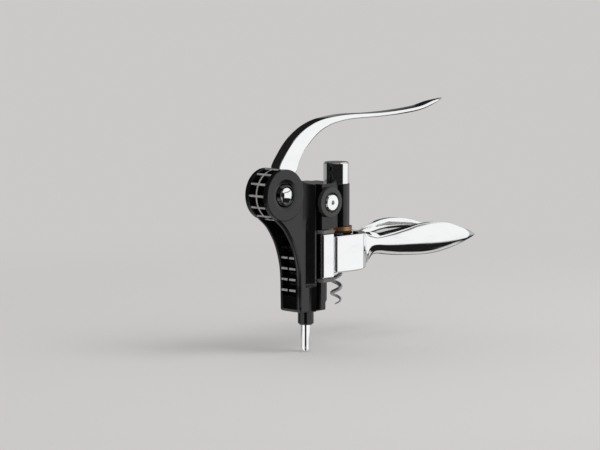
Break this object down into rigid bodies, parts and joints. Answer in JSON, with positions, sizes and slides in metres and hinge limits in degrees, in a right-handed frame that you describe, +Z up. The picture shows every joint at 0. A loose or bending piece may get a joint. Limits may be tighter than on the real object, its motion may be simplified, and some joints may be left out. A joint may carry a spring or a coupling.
{
  "type": "horizontal lever corkscrew",
  "caption": "Lever corkscrew: hinged grips clamp a bottle neck and a geared lever drives a rack carriage that pushes the worm through a fixed nut.",
  "frame": {"origin": "centre of the ring that sits on the bottle's rim, on the worm's axis", "axes": "+Z up out of the bottle along the worm, +X forwards along the grips and the lever, +Y to the left"},
  "size_m": [0.2062, 0.0456, 0.1678],
  "materials": {
    "black_paint": "satin black enamel",
    "black_gloss": "glossy black enamel",
    "carriage_black": "satin black enamel",
    "ring_grey": "satin dark grey",
    "tooth_steel": "ground steel",
    "pin_steel": "ground steel",
    "worm_steel": "polished, dark",
    "chrome_lever": "mirror",
    "chrome_grip": "mirror",
    "chrome_sleeve": "mirror",
    "chrome_rod": "mirror",
    "chrome_cap": "mirror",
    "bronze": "brown bronze, satin",
    "bronze_nut": "machined",
    "rubber": "matt"
  },
  "bodies": {
    "frame": {"side_plate_left": "black_paint", "side_plate_right": "black_paint", "frame_spine": "black_paint", "rod_collar": "black_gloss", "frame_screws": "tooth_steel", "nut_plate": "bronze", "drive_nut": "bronze_nut", "rim_seat": "rubber", "nut_screws": "tooth_steel", "hub_axle": "tooth_steel", "axle_cap_left": "chrome_cap", "axle_cap_right": "chrome_cap", "hinge_pin_left": "pin_steel", "hinge_pin_right": "pin_steel"},
    "lever_unit": {"lever": "chrome_lever", "drive_gear": "tooth_steel", "gear_bush": "bronze_nut", "lever_pins": "tooth_steel"},
    "carriage_unit": {"carriage": "carriage_black", "rack": "tooth_steel", "rack_pins": "tooth_steel", "guide_rod": "chrome_rod", "top_sleeve": "chrome_sleeve", "thrust_washers": "bronze_nut", "boss_ring_left": "ring_grey", "boss_ring_right": "ring_grey", "latch_bolt_left": "chrome_cap", "latch_bolt_right": "chrome_cap"},
    "worm_unit": {"worm": "worm_steel"},
    "left_grip_unit": {"grip_left": "chrome_grip", "jaw_pad_left": "rubber"},
    "right_grip_unit": {"grip_right": "chrome_grip", "jaw_pad_right": "rubber"}
  },
  "joints": [
    {"name": "lever_swing", "type": "hinge", "parent": "frame", "child": "lever_unit", "pos_m": [-0.05958, 0, 0.03], "axis": [0, -1, 0], "range_deg": [0, 180]},
    {"name": "carriage_slide", "type": "slide", "parent": "frame", "child": "carriage_unit", "axis": [0, 0, 1], "range_m": [0, 0.048]},
    {"name": "worm_spin", "type": "hinge", "parent": "carriage_unit", "child": "worm_unit", "pos_m": [0, 0, 0], "axis": [0, 0, 1], "range_deg": [0, 1880]},
    {"name": "left_grip_swing", "type": "hinge", "parent": "frame", "child": "left_grip_unit", "pos_m": [-0.0245, 0.0135, 0], "axis": [0, 0, 1], "range_deg": [-0.8, 28]},
    {"name": "right_grip_swing", "type": "hinge", "parent": "frame", "child": "right_grip_unit", "pos_m": [-0.0245, -0.0135, 0], "axis": [0, 0, -1], "range_deg": [-0.8, 28]}
  ],
  "couplings": [
    {"joint": "carriage_slide", "follows": "lever_swing", "m_per_rad": 0.015275},
    {"joint": "worm_spin", "follows": "lever_swing", "ratio": 10.432}
  ]
}
